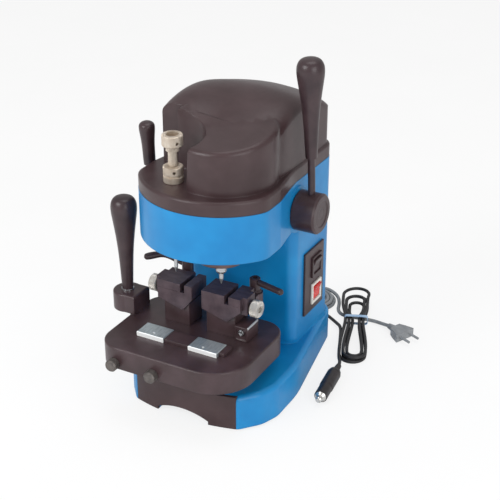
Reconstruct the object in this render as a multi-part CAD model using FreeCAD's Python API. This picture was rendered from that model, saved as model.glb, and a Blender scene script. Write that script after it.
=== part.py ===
"""Vertical key duplicating machine: cast base and head, moulded cover, sliding table with two vises."""
import FreeCAD, Part
import math
import os

V = FreeCAD.Vector
UP, BACK, RIGHT = V(0, 0, 1), V(0, 1, 0), V(1, 0, 0)

# Frame in mm: +X to the operator's right, +Y to the back, +Z up, origin on the bench under the base.
shaft_clearance = 0.05
run_gap = 0.4

# Base casting
base_half_width = 114.0
base_front_y = -157.0
base_rear_y = 155.0
base_rear_half_width = 80.0
base_corner_x, base_corner_y = 104.5, -118.0
base_side_y = -91.0
base_waist_y = -30.0
base_low_z = 3.0
base_top_z = 54.0
base_wall = 7.0
base_edge_radius = 8.0
pad_top_z = 60.0
panel_half_width = 82.0
panel_edge_y = -144.5
panel_thickness = 4.0
panel_top_z = 54.0
arch_half_width = 40.0
arch_height = 19.0
foot_radius = 11.0
foot_places = ((-80, -95), (80, -95), (0, 0), (-55, 115), (55, 115))

# Column and head casting
column_half_width = 87.0
column_front_y = 8.0
column_rear_y = 134.0
column_wall = 12.0
head_low_z = 243.0
head_top_z = 310.0
head_nose_y = -38.0
head_half_width = column_half_width + 10.5
head_nose_radius = head_half_width + 14.5
head_wall = 8.0
head_floor = 9.0
throat_radius = 35.0

# Cover
flange_top_z = 330.0
cover_wall = 3.5
lobe_x, lobe_y, lobe_radius = 17.5, -58.4, 70.0
hood_half_width = column_half_width - 3.5
hood_front_y = -50.0
hood_rear_y = 130.5
hood_crest = (404.0, (-32.0, 411.0), (-8.0, 419.0), (40.0, 426.0), (91.0, 413.0), (112.0, 404.0), 387.0)
hood_crown = ((0.0, 0.0), (0.38, 2.0), (0.7, 6.5), (0.88, 11.5), (0.965, 16.5), (1.0, 24.0))
lobe_edge_radius = 7.0
bay_radius = 40.0

# Cutter, tracer and spindle carriage
axis_x = 35.0
axis_y = -104.0
tip_z = 197.0
travel = 20.0
carriage_low_z = 296.0
carriage_high_z = 308.0
housing_radius = 23.0
disc_radius = 35.0
spindle_radius = 7.0
bearing_radius = 13.0
pulley_z = 360.0
pulley_height = 12.0
spindle_pulley_radius = 10.0
motor_pulley_radius = 20.0
motor_y = 60.0
motor_radius = 35.0
motor_shaft_radius = 4.0
post_radius = 7.0
post_x, post_y = 20.0, -40.0
tracer_radius = 6.3

# Feed lever
hub_y, hub_z = 12.0, 270.0
hub_radius = 28.0
hub_x0 = column_half_width + 4.3
hub_width = 33.5
pinion_radius = 17.3
feed_shaft_radius = 8.0
lever_lean = 4.0
lever_x = hub_x0 + 18.7
grip_length = 138.0
grip_radius = 18.3

# Lock lever on the left of the head
lock_y, lock_z = -40.0, 290.0

# Switch plate
switch_y0, switch_y1, switch_z0, switch_z1 = 38.0, 98.0, 89.0, 188.0
rocker_y0, rocker_y1 = 58.0, 88.0
power_z0, power_z1 = 100.0, 132.0
selector_z0, selector_z1 = 143.0, 175.0

# Table and slides
table_top_z = 112.0
table_low_z = 80.0
table_x0, table_x1, table_y0, table_y1 = -112.0, 100.0, -194.0, -31.0
table_corner = 34.0
table_wide_corner = 58.0
table_wall = 6.0
rail_radius = 7.0
rail_x, rail_z = 40.0, 70.0
cross_radius = 6.0
cross_z = 92.0
cross_y = (-150.0, -70.0)
ear_top_z = 140.0
handle_x, handle_y = -127.0, -88.0
ear_radius = 21.0

# Vises
vise_top_z = 175.0
jaw_low_z = 163.0
vise_y0, vise_y1 = -99.0, -59.0
screw_y, screw_z = -80.0, 157.0
clamp_y = -47.0

# Cords
black_radius = 2.5
grey_radius = 2.75
hank_center = V(109.0, 181.5, 0)
hank_angle = -67.85
hank_run = 165.0
hank_width = 21.0
hank_pitch = 5.6
hank_slope = 0.047
coil_center = V(0, 226.0, 0)
coil_run = 30.0
coil_width = 36.0
coil_pitch = 6.0

nodes = {}
pedestals = []


def box(x0, x1, y0, y1, z0, z1):
    return Part.makeBox(x1 - x0, y1 - y0, z1 - z0, V(x0, y0, z0))


def rod(radius, start, end):
    return Part.makeCylinder(radius, (end - start).Length, start, end - start)


def prism(points, push):
    return Part.Face(Part.makePolygon(points + [points[0]])).extrude(push)


def turned(profile, base, direction=UP):
    """Turn a closed outline of (radius, height) pairs about an axis through base."""
    corners = [V(r, 0, h) for r, h in profile]
    solid = Part.Face(Part.makePolygon(corners + [corners[0]])).revolve(V(0, 0, 0), UP, 360)
    solid.Placement = FreeCAD.Placement(base, FreeCAD.Rotation(UP, direction))
    return solid


def turned_smooth(outline, base, direction=UP):
    """Turn a smooth line of (radius, height) pairs, from its foot to its head on the axis."""
    corners = [V(r, 0, h) for r, h in outline]
    line = Part.BSplineCurve()
    line.interpolate(corners)
    edges = [Part.makeLine(V(0, 0, 0), corners[0]), line.toShape(), Part.makeLine(corners[-1], V(0, 0, 0))]
    solid = Part.Face(Part.Wire(edges)).revolve(V(0, 0, 0), UP, 360)
    solid.Placement = FreeCAD.Placement(base, FreeCAD.Rotation(UP, direction))
    return solid


def upright(shape, test):
    """Upright edges whose place in plan passes a test."""
    found = []
    for edge in shape.Edges:
        size = edge.BoundBox
        if size.XLength < 0.01 and size.YLength < 0.01 and test(size.XMin, size.YMin):
            found.append(edge)
    return found


def level_edges(shape, z):
    return [e for e in shape.Edges if abs(e.BoundBox.ZMin - z) < 0.01 and abs(e.BoundBox.ZMax - z) < 0.01]


def mirrored(points):
    return points + [V(-p.x, p.y, p.z) for p in reversed(points)]


def plan_prism(right_points, front_y, z0, z1):
    """Prism on a plan that is alike left and right and has a bowed front."""
    points = mirrored(right_points)
    edges = [Part.makeLine(a, b) for a, b in zip(points[:-1], points[1:])]
    edges.append(Part.Arc(points[-1], V(0, front_y, 0), points[0]).toShape())
    solid = Part.Face(Part.Wire(edges)).extrude(V(0, 0, z1 - z0))
    solid.translate(V(0, 0, z0))
    return solid


def base_prism(inset, z0, z1):
    side = base_half_width - inset
    points = [V(panel_half_width - inset * 0.6, panel_edge_y + inset, 0),
              V(base_corner_x - inset, base_corner_y + inset * 0.4, 0),
              V(side, base_side_y, 0),
              V(side, base_waist_y, 0),
              V(base_rear_half_width - inset, base_rear_y - inset, 0)]
    solid = plan_prism(points, base_front_y + inset, z0, z1)
    low, high = base_corner_y - 7.0, base_side_y + 11.0
    solid = solid.makeFillet(40.0, upright(solid, lambda x, y: low < y < high))
    solid = solid.makeFillet(14.0, upright(solid, lambda x, y: y < low))
    solid = solid.makeFillet(200.0, upright(solid, lambda x, y: abs(y - base_waist_y) < 1))
    solid = solid.makeFillet(26.0, upright(solid, lambda x, y: y > base_rear_y - 55))
    return solid


def arch_space():
    low = base_low_z - 5.0
    a, b = V(-arch_half_width, -200, 8.0), V(arch_half_width, -200, 8.0)
    edges = [Part.Arc(a, V(0, -200, arch_height), b).toShape(),
             Part.makeLine(b, V(b.x, -200, low)),
             Part.makeLine(V(b.x, -200, low), V(a.x, -200, low)),
             Part.makeLine(V(a.x, -200, low), a)]
    return Part.Face(Part.Wire(edges)).extrude(V(0, 70, 0))


def build_base():
    outer = base_prism(0.0, base_low_z, base_top_z)
    behind_panel = base_prism(panel_thickness, base_low_z - 1, panel_top_z)
    side = panel_half_width - 3
    panel_zone = box(-side, side, -170, -135, base_low_z - 1, panel_top_z)
    recess = panel_zone.cut(behind_panel)
    outer = outer.makeFillet(base_edge_radius, level_edges(outer, base_top_z))
    hollow = base_prism(base_wall + panel_thickness, base_low_z - 1, base_top_z - base_wall)
    side = column_half_width
    pad = box(-side, side, column_front_y, column_rear_y, base_top_z - 2, pad_top_z)
    pad = pad.makeFillet(20.0, upright(pad, lambda x, y: True))
    ribs = []
    for y0, y1 in ((-150.0, -138.0), (-8.0, 2.0)):
        ribs.append(box(-rail_x - 14, rail_x + 14, y0, y1, base_top_z - 2, rail_z + 8.5))
    casting = outer.fuse([pad] + ribs).cut([hollow, recess, arch_space()])
    for x in (-rail_x, rail_x):
        casting = casting.cut(rod(rail_radius, V(x, -149, rail_z), V(x, 1, rail_z)))
    nodes["base_casting"] = casting.removeSplitter()
    slab = panel_zone.common(base_prism(0.0, base_low_z, panel_top_z)).cut(behind_panel)
    nodes["front_panel"] = slab.cut(arch_space())
    plate = base_prism(base_wall + panel_thickness + run_gap, base_low_z, base_low_z + 2.0)
    nodes["base_plate"] = plate.cut(arch_space())
    foot = [(0, 0), (foot_radius - 1, 0), (foot_radius, 1), (foot_radius, base_low_z), (0, base_low_z)]
    feet = [turned(foot, V(x, y, 0)) for x, y in foot_places]
    nodes["rubber_feet"] = Part.makeCompound(feet)
    rails = [rod(rail_radius, V(x, -149, rail_z), V(x, 1, rail_z)) for x in (-rail_x, rail_x)]
    nodes["y_rails"] = Part.makeCompound(rails)


def head_prism(inset, z0, z1):
    side, nose = head_half_width - inset, head_nose_radius - inset
    shoulder_y = head_nose_y - math.sqrt(nose * nose - side * side)
    points = [V(side, shoulder_y, 0),
              V(side, -55.0, 0),
              V(column_half_width + 3.0 - inset, -12.0, 0),
              V(column_half_width - inset, 12.0, 0),
              V(column_half_width - inset, column_rear_y - inset, 0)]
    solid = plan_prism(points, head_nose_y - nose, z0, z1)
    solid = solid.makeFillet(30.0, upright(solid, lambda x, y: y < -70))
    solid = solid.makeFillet(24.0, upright(solid, lambda x, y: -60 < y < -50))
    solid = solid.makeFillet(25.0 - inset, upright(solid, lambda x, y: y > 100))
    return solid


def build_head():
    block = head_prism(0.0, head_low_z, head_top_z)
    side = column_half_width
    column = box(-side, side, column_front_y, column_rear_y, pad_top_z, head_low_z + 1)
    column = column.makeFillet(25.0, upright(column, lambda x, y: y > 100))
    column = column.makeFillet(14.0, upright(column, lambda x, y: y < 50))
    r, y, z = throat_radius, column_front_y, head_low_z
    s = r * math.sqrt(0.5)
    half = column_half_width - 14.0
    edges = [Part.Arc(V(-half, y - r, z), V(-half, y - r + s, z - r + s), V(-half, y, z - r)).toShape(),
             Part.makeLine(V(-half, y, z - r), V(-half, y + 2, z - r)),
             Part.makeLine(V(-half, y + 2, z - r), V(-half, y + 2, z + 1)),
             Part.makeLine(V(-half, y + 2, z + 1), V(-half, y - r, z + 1)),
             Part.makeLine(V(-half, y - r, z + 1), V(-half, y - r, z))]
    throat = Part.Face(Part.Wire(edges)).extrude(V(2 * half, 0, 0))
    casting = block.fuse([column, throat]).removeSplitter()
    hollow = head_prism(head_wall, head_low_z + head_floor, head_top_z + 1)
    core_side = side - column_wall
    core = box(-core_side, core_side, 20, 122, pad_top_z - 1, head_top_z)
    rack_well = box(41, 74, -16, -3, head_low_z + 1, head_top_z)
    reach = pinion_radius + 0.5
    pinion_well = box(44, 70, hub_y - reach, hub_y + reach, hub_z - reach, head_top_z)
    openings = [rod(housing_radius + 1, V(axis_x, axis_y, 200), V(axis_x, axis_y, 280)),
                rod(tracer_radius + 2, V(-axis_x, axis_y, 200), V(-axis_x, axis_y, 280))]
    feed_boss = rod(33.0, V(side - 7, hub_y, hub_z), V(side + 3, hub_y, hub_z))
    wing = -head_half_width
    lock_boss = rod(15.0, V(wing + 11.5, lock_y, lock_z), V(wing - 1.5, lock_y, lock_z))
    casting = casting.cut([hollow, core, rack_well, pinion_well] + openings).fuse([feed_boss, lock_boss])
    bore = feed_shaft_radius + shaft_clearance
    feed_bore = rod(bore, V(side - 27, hub_y, hub_z), V(side + 8, hub_y, hub_z))
    lock_bore = rod(5 + shaft_clearance, V(wing + 17.5, lock_y, lock_z), V(wing - 7.5, lock_y, lock_z))
    casting = casting.cut([feed_bore, lock_bore])
    for z0, z1 in ((power_z0, power_z1), (selector_z0, selector_z1)):
        casting = casting.cut(box(side - 17, side + 3, rocker_y0 + 1, rocker_y1 - 1, z0 + 1, z1 - 1))
    posts = []
    for x in (-post_x, post_x):
        casting = casting.cut(rod(post_radius, V(x, post_y, head_low_z + 3), V(x, post_y, 280)))
        posts.append(rod(post_radius, V(x, post_y, head_low_z + 3), V(x, post_y, head_top_z + 14)))
    nodes["column_head"] = casting.removeSplitter()
    nodes["guide_posts"] = Part.makeCompound(posts)


def hood_section(y, z, side, low):
    """Outline across the hood: level below, upright at the sides, crowned on top."""
    right = [V(side * share, y, z - drop) for share, drop in hood_crown]
    tops = [V(-p.x, p.y, p.z) for p in reversed(right[1:])] + right
    line = Part.BSplineCurve()
    line.interpolate(tops)
    return Part.Wire([line.toShape(),
                      Part.makeLine(tops[-1], V(side, y, low)),
                      Part.makeLine(V(side, y, low), V(-side, y, low)),
                      Part.makeLine(V(-side, y, low), tops[0])])


def cover_body(inset):
    """Lobe and hood above the flange, less the bay for the tracer adjuster."""
    z0 = flange_top_z - 8.0
    lobe = Part.makeCylinder(lobe_radius - inset, 130, V(lobe_x, lobe_y, z0))
    slope = [(-140, 387.5 - inset), (40, 416.0 - inset), (40, z0 - 1), (-140, z0 - 1)]
    lobe = lobe.common(prism([V(-150, y, z) for y, z in slope], V(300, 0, 0)))
    rim = [e for e in lobe.Edges if e.BoundBox.XLength > lobe_radius and e.BoundBox.ZMax > z0 + 10]
    lobe = lobe.makeFillet(lobe_edge_radius - inset, rim)
    side = hood_half_width - inset
    front, rear = hood_front_y + inset, hood_rear_y - inset
    crest = [(front, hood_crest[0])] + list(hood_crest[1:-1]) + [(rear, hood_crest[-1])]
    hood = Part.makeLoft([hood_section(y, z - inset, side, z0) for y, z in crest], True, False)
    outline = box(-side, side, front - 10, rear, z0, z0 + 130)
    outline = outline.makeFillet(24.0 - inset, upright(outline, lambda x, y: y > hood_rear_y - 30))
    hood = hood.common(outline)
    low = flange_top_z - inset
    bay = Part.makeCone(bay_radius + inset, bay_radius + 9 + inset, 120, V(-axis_x - 2, axis_y, low))
    side_bay = box(-150, -axis_x - inset * 0.5, -200, -62 + inset, low, 480)
    return lobe.fuse(hood).cut(bay).cut(side_bay)


def build_cover():
    flange = head_prism(0.3, head_top_z, flange_top_z)
    flange = flange.makeFillet(4.0, level_edges(flange, flange_top_z))
    shell = flange.fuse(cover_body(0.0))
    inside = head_prism(head_wall, head_top_z - 1, flange_top_z - cover_wall)
    cover = shell.cut([inside, cover_body(cover_wall)])
    cover = cover.cut(rod(tracer_radius + 1.2, V(-axis_x, axis_y, 300), V(-axis_x, axis_y, 340)))
    nodes["top_cover"] = cover.removeSplitter()


def pulley(radius, bore, x, y):
    rim, h = radius + 1.5, pulley_height
    outline = [(bore, 0), (rim, 0), (rim, 1.5), (radius, 2), (radius, h - 2), (rim, h - 1.5), (rim, h),
               (bore, h)]
    return turned(outline, V(x, y, pulley_z))


def belt():
    a, b = V(axis_x, axis_y, 0), V(0, motor_y, 0)
    line = b - a
    heading = math.atan2(line.y, line.x)
    loops = []
    for grow in (2.2, 0.3):
        ra, rb = spindle_pulley_radius + grow, motor_pulley_radius + grow
        spread = math.acos((ra - rb) / line.Length)
        ends = []
        for sign in (1, -1):
            n = V(math.cos(heading + sign * spread), math.sin(heading + sign * spread), 0)
            ends.append((a + n * ra, b + n * rb))
        u = line * (1 / line.Length)
        edges = [Part.makeLine(ends[0][0], ends[0][1]),
                 Part.Arc(ends[0][1], b + u * rb, ends[1][1]).toShape(),
                 Part.makeLine(ends[1][1], ends[1][0]),
                 Part.Arc(ends[1][0], a - u * ra, ends[0][0]).toShape()]
        loops.append(Part.Face(Part.Wire(edges)).extrude(V(0, 0, 7)))
    ring = loops[0].cut(loops[1])
    ring.translate(V(0, 0, pulley_z + 2.5))
    return ring


def build_carriage():
    z0, z1 = carriage_low_z, carriage_high_z
    wing = box(-60, 60, -130, -74, z0, z1)
    wing = wing.makeFillet(18.0, upright(wing, lambda x, y: y < -100))
    spine = box(-28, 28, -75, 92, z0, z1)
    tongue = box(27, 68, -30, -8, z0, z1)
    axis = V(axis_x, axis_y, 0)
    housing = rod(housing_radius, axis + V(0, 0, 242.5), axis + V(0, 0, z0 + 1))
    rack = box(45, 68, -8.5, hub_y - pinion_radius - 0.35, 264.5, z1)
    plate = wing.fuse([spine, tongue, housing, rack])
    bores = [rod(bearing_radius, V(axis_x, axis_y, 200), V(axis_x, axis_y, 320)),
             rod(tracer_radius + shaft_clearance, V(-axis_x, axis_y, 280), V(-axis_x, axis_y, 320)),
             rod(motor_shaft_radius + 1, V(0, motor_y, 280), V(0, motor_y, 320))]
    for x in (-post_x, post_x):
        bores.append(rod(post_radius + shaft_clearance, V(x, post_y, 280), V(x, post_y, 320)))
    nodes["spindle_carriage"] = plate.cut(bores).removeSplitter()
    inner, outer = bearing_radius, disc_radius
    disc = [(inner, 236), (outer - 2, 236), (outer, 238), (outer, 242.5), (inner, 242.5)]
    nodes["spindle_disc"] = turned(disc, axis)
    inner, outer = spindle_radius + shaft_clearance, bearing_radius
    ring = [(inner, 0), (outer, 0), (outer, 10), (inner, 10)]
    nodes["spindle_bearings"] = Part.makeCompound([turned(ring, axis + V(0, 0, z)) for z in (238.0, 296.0)])
    shaft = [(0, 230), (spindle_radius, 230), (spindle_radius, 330), (5, 330), (5, 376), (0, 376)]
    small_pulley = pulley(spindle_pulley_radius, 5, axis_x, axis_y)
    nodes["spindle_shaft"] = turned(shaft, axis).fuse(small_pulley).removeSplitter()
    nodes["collet_nut"] = turned([(3, 214), (6, 214), (7.4, 217), (7.4, 230), (3, 230)], axis)
    nodes["cutter"] = turned([(0, tip_z), (0.8, tip_z), (3, tip_z + 8), (3, 230), (0, 230)], axis)
    bore = motor_shaft_radius + 1
    motor = [(bore, 206), (30, 206), (motor_radius, 211), (motor_radius, 290), (30, z0), (bore, z0)]
    nodes["motor_body"] = turned(motor, V(0, motor_y, 0))
    shaft = rod(motor_shaft_radius, V(0, motor_y, 210), V(0, motor_y, 376))
    large_pulley = pulley(motor_pulley_radius, motor_shaft_radius, 0, motor_y)
    nodes["motor_rotor"] = shaft.fuse(large_pulley).removeSplitter()
    nodes["drive_belt"] = belt()
    low, high = head_low_z + head_floor, z0
    inner, outer = post_radius + 0.6, post_radius + 2.4
    spring = [(inner, low), (outer, low), (outer, high), (inner, high)]
    springs = [turned(spring, V(x, post_y, 0)) for x in (-post_x, post_x)]
    nodes["return_springs"] = Part.makeCompound(springs)


def build_tracer():
    place = V(-axis_x, axis_y, 0)
    z = flange_top_z
    collar = [(6.8, z), (13, z), (13.5, z + 1), (13.5, z + 8), (12, z + 9), (12, z + 10.5), (13.5, z + 11.5),
              (13.5, z + 21), (12.5, z + 22), (6.8, z + 22)]
    collar_hole = rod(2.0, place + V(0, 0, z + 16), place + V(9, -12, z + 16))
    nodes["tracer_collar"] = turned(collar, place).cut(collar_hole)
    stylus = [(0, tip_z), (0.8, tip_z), (2.6, tip_z + 8), (2.6, 222), (5, 225), (tracer_radius, 227),
              (tracer_radius, 373), (4, 373), (4, 388), (0, 388)]
    nodes["tracer_rod"] = turned(stylus, place)
    bore = 4 + shaft_clearance
    knob = [(bore, 373.4), (9, 373.4), (9, 379), (13.2, 380), (14, 381), (14, 394), (13, 395.5),
            (8.5, 395.5), (8.5, 389), (bore, 389)]
    knob_hole = rod(2.0, place + V(7, -4, 386), place + V(13.2, -8.6, 386))
    nodes["tracer_knob"] = turned(knob, place).cut(knob_hole)


def grip_outline(length, radius):
    """Slim foot, swelling body and a round head."""
    shares = [(0.43, 0.0), (0.5, 0.2), (0.6, 0.42), (0.76, 0.62), (0.93, 0.78), (1.0, 0.875), (0.93, 0.94),
              (0.72, 0.98), (0.4, 0.996), (0.0, 1.0)]
    return [(radius * r, length * h) for r, h in shares]


def build_levers():
    lean = math.radians(lever_lean)
    up = V(0, -math.sin(lean), math.cos(lean))
    middle = V(lever_x, hub_y, hub_z)
    face = hub_width - 1.0
    hub = [(feed_shaft_radius, 0), (hub_radius, 0), (hub_radius, hub_width - 2.5),
           (hub_radius - 2.5, hub_width), (19, hub_width), (18, face), (feed_shaft_radius, face)]
    hub = turned(hub, V(hub_x0, hub_y, hub_z), RIGHT)
    nodes["feed_hub"] = hub.cut(rod(5.0, middle + up * 14, middle + up * 60))
    foot = middle + up * 82
    nodes["feed_rod"] = rod(5.0, middle + up * 14, middle + up * 120)
    grip = turned_smooth(grip_outline(grip_length, grip_radius), foot, up)
    nodes["feed_grip"] = grip.cut(rod(5.0, foot - up, middle + up * 120))
    shaft = rod(feed_shaft_radius, V(42, hub_y, hub_z), V(hub_x0 + face, hub_y, hub_z))
    gear = rod(pinion_radius, V(46, hub_y, hub_z), V(68, hub_y, hub_z))
    nodes["pinion_shaft"] = shaft.fuse(gear).removeSplitter()
    base = V(-head_half_width - 1.9, lock_y, lock_z)
    left = V(-1, 0, 0)
    hub = turned([(0, -16), (5, -16), (5, 0), (13, 0), (13, 17), (11.5, 18.6), (0, 18.6)], base, left)
    root = V(-head_half_width - 14.5, lock_y, lock_z)
    nodes["lock_hub"] = hub.fuse(rod(4.0, root + up * 4, root + up * 45)).removeSplitter()
    outline = [(8.2, 0), (8.6, 14), (9.0, 30), (10.2, 44), (11, 53), (10, 59), (6.5, 61.8), (0, 62.5)]
    grip = turned_smooth(outline, root + up * 27, up)
    nodes["lock_grip"] = grip.cut(rod(4.0, root + up * 20, root + up * 45))


def build_switches():
    x0, x1 = column_half_width, column_half_width + 3.0
    plate = box(x0, x1, switch_y0, switch_y1, switch_z0, switch_z1)
    for name, z0, z1 in (("power", power_z0, power_z1), ("selector", selector_z0, selector_z1)):
        plate = plate.cut(box(x0 - 1, x1 + 1, rocker_y0 + 2, rocker_y1 - 2, z0 + 2, z1 - 2))
        rim = box(x1, x1 + 2.5, rocker_y0, rocker_y1, z0, z1)
        can = box(x0 - 13, x1, rocker_y0 + 2, rocker_y1 - 2, z0 + 2, z1 - 2)
        well = box(x0 - 11, x1 + 9, rocker_y0 + 4, rocker_y1 - 4, z0 + 4, z1 - 4)
        zc = (z0 + z1) / 2
        pin = rod(1.5, V(x1 - 3, rocker_y0 + 3, zc), V(x1 - 3, rocker_y1 - 3, zc))
        nodes[name + "_bezel"] = rim.fuse(can).cut(well).fuse(pin).removeSplitter()
        half = (z1 - z0) / 2 - 5.4
        outline = [(-4, -half), (1, -half), (1.8, 0), (5.2, half), (-2, half), (-6, 5), (-6, -5)]
        side = [V(x1 + out, 0, zc + high) for out, high in outline]
        rocker = prism(side, V(0, rocker_y1 - rocker_y0 - 9.0, 0))
        rocker.translate(V(0, rocker_y0 + 4.5, 0))
        nodes[name + "_rocker"] = rocker.cut(rod(1.55, V(x1 - 3, 0, zc), V(x1 - 3, 120, zc)))
    nodes["switch_plate"] = plate


def build_table():
    def plan(inset, z0, z1):
        block = box(table_x0 + inset, table_x1 - inset, table_y0 + inset, table_y1 - inset, z0, z1)
        wide = upright(block, lambda x, y: x > 50 and y < -100)
        block = block.makeFillet(table_wide_corner - inset, wide)
        return block.makeFillet(table_corner - inset, upright(block, lambda x, y: x < 0 or y > -60))
    block = plan(0.0, table_low_z, table_top_z)
    block = block.makeFillet(2.5, level_edges(block, table_top_z))
    seat = V(handle_x, handle_y, ear_top_z)
    ear = rod(ear_radius, V(handle_x, handle_y, table_top_z + 1), seat)
    half = ear_radius - 1
    neck = box(handle_x, table_x0 + 8, handle_y - half, handle_y + half, table_top_z + 1, ear_top_z)
    ear = ear.fuse(neck).removeSplitter()
    ear = ear.makeFillet(3.0, level_edges(ear, ear_top_z))
    foot = box(table_x0, table_x0 + 8, handle_y - 19, handle_y + 19, table_top_z - 4, table_top_z + 4)
    table = block.fuse([ear, foot]).cut(plan(table_wall, table_low_z - 1, table_top_z - 8))
    rails = []
    for y in cross_y:
        bar = rod(cross_radius, V(table_x0 + 1, y, cross_z), V(table_x1 - 4.5, y, cross_z))
        rails.append(bar)
        table = table.cut(bar)
    nodes["x_rails"] = Part.makeCompound(rails)
    table = table.cut(rod(4.0, seat - V(0, 0, 16), seat + V(0, 0, 5)))
    stud = rod(4.0, seat - V(0, 0, 16), seat + V(0, 0, 40))
    nodes["handle_stud"] = stud.fuse(rod(9.0, seat, seat + V(0, 0, 2)))
    grip = turned_smooth(grip_outline(141.0, grip_radius), seat + V(0, 0, 2))
    nodes["table_handle"] = grip.cut(rod(4.0, seat, seat + V(0, 0, 40)))
    for name, x in (("left_lock_knob", -81.0), ("front_lock_knob", -20.0)):
        place = V(x, table_y0 - run_gap, 88.0)
        knob = [(0, -16), (2.5, -16), (2.5, 0), (8.5, 0), (8.5, 9), (7, 11), (0, 11.5)]
        nodes[name] = turned(knob, place, V(0, -1, 0))
        table = table.cut(rod(2.5 + shaft_clearance, V(x, table_y0 - 5, 88), V(x, table_y0 + 12, 88)))
    nodes["table_casting"] = table.removeSplitter()
    plate = box(-60, 60, -165, -45, 82, 100)
    bosses = [box(x - 13, x + 13, -92, -52, 60.5, 83) for x in (-rail_x, rail_x)]
    saddle = plate.fuse(bosses)
    for x in (-rail_x, rail_x):
        saddle = saddle.cut(rod(rail_radius + shaft_clearance, V(x, -200, rail_z), V(x, 0, rail_z)))
    for y in cross_y:
        saddle = saddle.cut(rod(cross_radius + shaft_clearance, V(-99, y, cross_z), V(99, y, cross_z)))
    nodes["saddle"] = saddle.removeSplitter()
    blocks = []
    for x0, x1, hole in ((-71.5, -29.0, -48.0), (9.5, 53.6, 29.0)):
        block = box(x0, x1, -152, -124, table_top_z, 118.5)
        block = block.makeChamfer(0.8, level_edges(block, 118.5))
        blocks.append(block.cut(rod(2.2, V(hole, -146, 114.5), V(hole, -146, 125))))
    nodes["gauge_blocks"] = Part.makeCompound(blocks)
    strip = box(-29, 9.5, -150, -124, table_top_z, 117.0)
    nodes["gauge_strip"] = strip.fuse(box(53.6, 62.0, -146, -124, table_top_z, 117.0))


def build_vise(name, s, outer, slot_near, slot_far, inner, drops, lever_x_at, arm_angle, arm_length):
    """One vise; s is +1 when its knob is on the left, and the drops shape the V below it."""
    y0, y1, top = vise_y0, vise_y1, vise_top_z
    lever_y_at = clamp_y
    apex = (slot_near + slot_far) / 2
    face = [V(outer, y0, jaw_low_z), V(outer, y0, drops[0]), V(apex, y0, drops[1]), V(inner, y0, drops[2]),
            V(inner, y0, top), V(slot_far, y0, top), V(slot_far, y0, jaw_low_z)]
    body = prism(face, V(0, y1 - y0, 0))
    whole = [V(outer, y0, top), V(outer, y0, drops[0]), V(apex, y0, drops[1]), V(inner, y0, drops[2]),
             V(inner, y0, top)]
    solid_v = prism(whole, V(0, y1 - y0, 0))
    boss = rod(11.0, V(lever_x_at, lever_y_at, 148), V(lever_x_at, lever_y_at, jaw_low_z))
    web = box(lever_x_at - 9, lever_x_at + 9, y1 - 2, lever_y_at, 150, jaw_low_z)
    body = body.fuse([boss, web])
    x0, x1 = sorted((outer - s, outer + s * 8.5))
    body = body.cut(box(x0, x1, screw_y - 13, screw_y + 13, 148, top))
    bore = 3.0 + shaft_clearance
    body = body.cut(rod(bore, V(outer, screw_y, screw_z), V(outer + s * 26, screw_y, screw_z)))
    stud = rod(3.5, V(lever_x_at, lever_y_at, 152), V(lever_x_at, lever_y_at, 182))
    nodes[name + "_vise_body"] = body.fuse(stud).removeSplitter()
    x0, x1 = sorted((outer, slot_near))
    jaw = box(x0, x1, y0, y1, jaw_low_z + 0.3, top)
    x0, x1 = sorted((outer - s * 6.5, outer + s * 2.0))
    jaw = jaw.fuse(box(x0, x1, screw_y - 11, screw_y + 11, 149, top))
    jaw = jaw.cut(rod(bore, V(outer - s * 20, screw_y, screw_z), V(outer + s * 20, screw_y, screw_z)))
    nodes[name + "_vise_jaw"] = jaw.removeSplitter()
    start = V(outer - s * 6.9, screw_y, screw_z)
    knob = [(0, -24), (3, -24), (3, 0), (6, 0), (6, 2), (10.8, 2), (12, 3.2), (12, 12.8), (10.8, 14),
            (5, 14), (5, 8), (0, 8)]
    nodes[name + "_vise_knob"] = turned(knob, start, V(-s, 0, 0))
    x0, x1 = sorted((outer + s * 9, inner - s * 6))
    pedestal = box(x0, x1, y0 + 3, y1 - 3, table_top_z, min(drops[0], drops[2]) - 0.5)
    pedestals.append(pedestal.cut(solid_v))
    hub = turned([(3.55, 0), (9, 0), (9, 2), (7.5, 4), (7.5, 20), (6, 21), (3.55, 21)],
                 V(lever_x_at, lever_y_at, jaw_low_z + run_gap))
    a = math.radians(arm_angle)
    aim = V(math.cos(a), math.sin(a), 0.08)
    aim.normalize()
    start = V(lever_x_at, lever_y_at, 178.8) + aim * 4.5
    end = arm_length - 6.5
    arm = [(0, 0), (3.2, 0), (4.4, 6), (4.4, end - 2.5), (3.4, end - 0.5), (0, end)]
    lever = hub.fuse(turned(arm, start, aim))
    lever = lever.cut(rod(3.55, V(lever_x_at, lever_y_at, 150), V(lever_x_at, lever_y_at, 200)))
    nodes[name + "_vise_lever"] = lever.removeSplitter()


def rounded_path(points):
    """Straight runs joined by tangent arcs, each as large as its shorter run allows."""
    edges, radii, last = [], [], points[0]
    for before, corner, after in zip(points[:-2], points[1:-1], points[2:]):
        u, w = corner - before, after - corner
        half = u.getAngle(w) / 2
        reach = 0.45 * min(u.Length, w.Length)
        radius = reach / math.tan(half)
        radii.append(round(radius, 1))
        u.normalize()
        w.normalize()
        inward = w - u
        inward.normalize()
        a, b = corner - u * reach, corner + w * reach
        edges.append(Part.makeLine(last, a))
        edges.append(Part.Arc(a, corner + inward * (radius / math.cos(half) - radius), b).toShape())
        last = b
    edges.append(Part.makeLine(last, points[-1]))
    return edges, radii


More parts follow.
